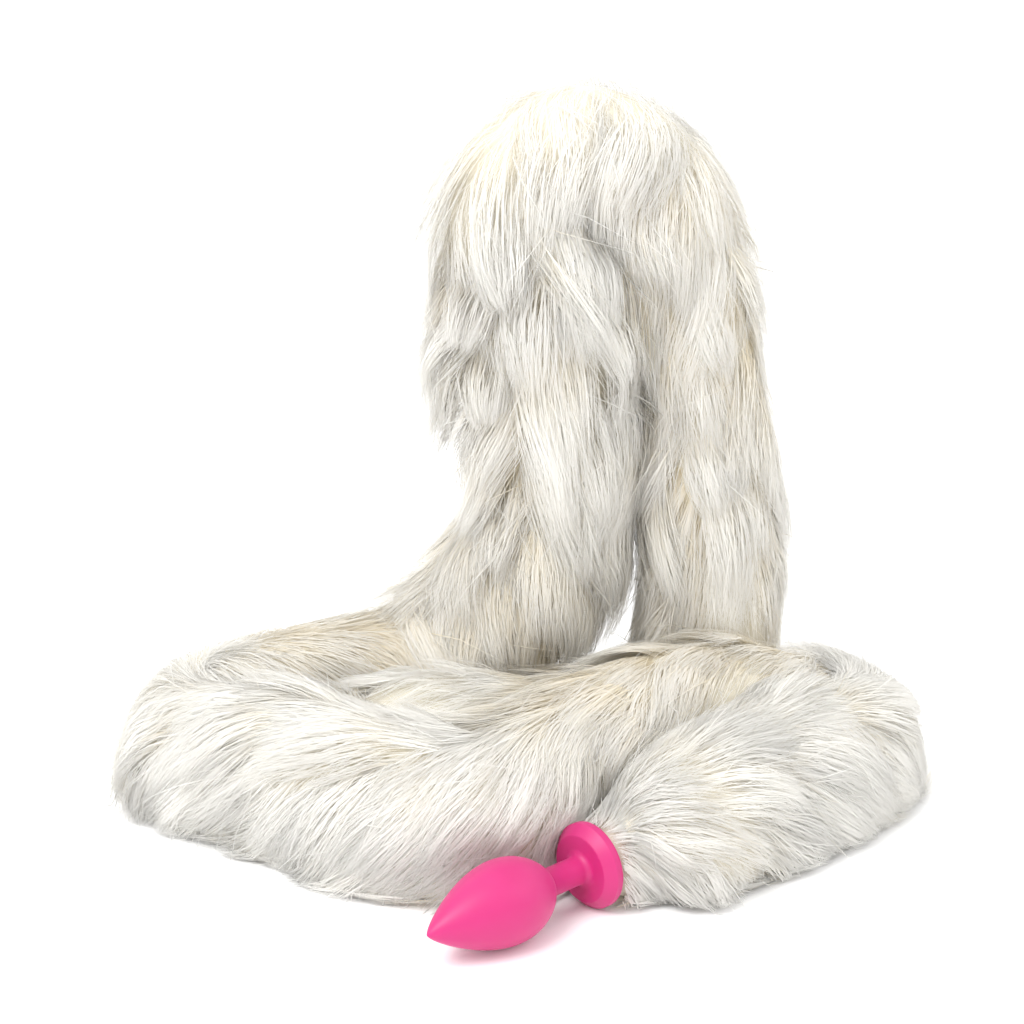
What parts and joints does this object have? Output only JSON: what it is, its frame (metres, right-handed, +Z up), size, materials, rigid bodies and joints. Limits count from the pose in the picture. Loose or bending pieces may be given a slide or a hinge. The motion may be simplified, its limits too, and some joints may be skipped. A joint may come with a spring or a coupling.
{
  "type": "dog tail butt plug",
  "caption": "Long faux-fur dog tail on a one-piece silicone plug with a round flange, lying in folds with its middle raised in an arch.",
  "frame": {"origin": "middle of the bottom of the whole thing's box, on the surface that the tail and the plug lie on", "axes": "+X along the lying folds, towards the fold that the flange's end of the tail runs to; +Y from the plug towards the legs of the arch; +Z up the arch"},
  "size_m": [0.317, 0.2172, 0.257],
  "materials": {
    "plug": "matte silicone",
    "root_post": "plain",
    "fur_tail": "long-pile faux fur, white over cream"
  },
  "bodies": {
    "root": {"plug": "plug", "root_post": "root_post", "fur_tail": "fur_tail"}
  },
  "joints": []
}
